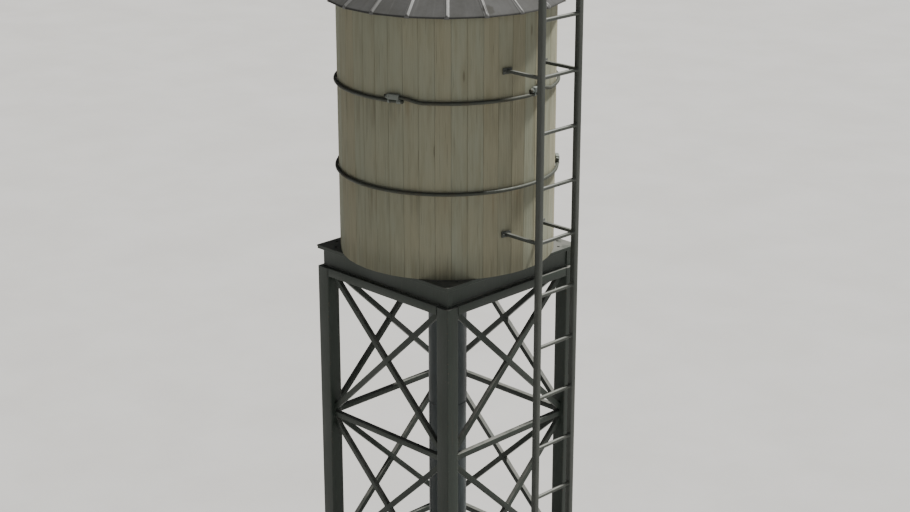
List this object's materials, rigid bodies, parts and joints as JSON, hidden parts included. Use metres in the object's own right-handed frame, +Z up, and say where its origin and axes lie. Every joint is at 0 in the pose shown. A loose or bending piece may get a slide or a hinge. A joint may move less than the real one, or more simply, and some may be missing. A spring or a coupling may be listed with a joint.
{
  "type": "water tower",
  "caption": "Round wooden stave water tank with a conical metal roof on a cross-braced steel tower, with a riser pipe and a side ladder.",
  "frame": {"origin": "on the ground under the centre of the riser's foot flange, on the tower's axis", "axes": "+Z up along the tower's axis; the tower's faces look along +X, -X, +Y and -Y, and the ladder stands in front of the +X face"},
  "size_m": [2.3026, 1.9952, 7.401],
  "materials": {
    "tower_steel": "matt dark grey-green paint, weathered",
    "riser_paint": "blue-grey paint, weathered",
    "tank_wood": "bare weathered grey-tan softwood",
    "hoop_steel": "dark bare steel rod with a cast lug",
    "roof_sheet": "dull galvanised sheet",
    "ladder_steel": "dull galvanised steel"
  },
  "bodies": {
    "root": {"leg_front_right": "tower_steel", "leg_back_right": "tower_steel", "leg_back_left": "tower_steel", "leg_front_left": "tower_steel", "strut_1_front": "tower_steel", "brace_1_front": "tower_steel", "strut_1_right": "tower_steel", "brace_1_right": "tower_steel", "strut_1_back": "tower_steel", "brace_1_back": "tower_steel", "strut_1_left": "tower_steel", "brace_1_left": "tower_steel", "strut_2_front": "tower_steel", "brace_2_front": "tower_steel", "strut_2_right": "tower_steel", "brace_2_right": "tower_steel", "strut_2_back": "tower_steel", "brace_2_back": "tower_steel", "strut_2_left": "tower_steel", "brace_2_left": "tower_steel", "strut_3_front": "tower_steel", "brace_3_front": "tower_steel", "strut_3_right": "tower_steel", "brace_3_right": "tower_steel", "strut_3_back": "tower_steel", "brace_3_back": "tower_steel", "strut_3_left": "tower_steel", "brace_3_left": "tower_steel", "top_beam_front": "tower_steel", "top_beam_right": "tower_steel", "top_beam_back": "tower_steel", "top_beam_left": "tower_steel", "deck": "tower_steel", "riser": "riser_paint", "tank_wall": "tank_wood", "tank_floor": "tank_wood", "hoop_1": "hoop_steel", "hoop_2": "hoop_steel", "roof": "roof_sheet", "roof_cap": "roof_sheet", "ladder": "ladder_steel", "ladder_arm_lower_near": "ladder_steel", "ladder_arm_lower_far": "ladder_steel", "ladder_arm_upper_near": "ladder_steel", "ladder_arm_upper_far": "ladder_steel"}
  },
  "joints": []
}
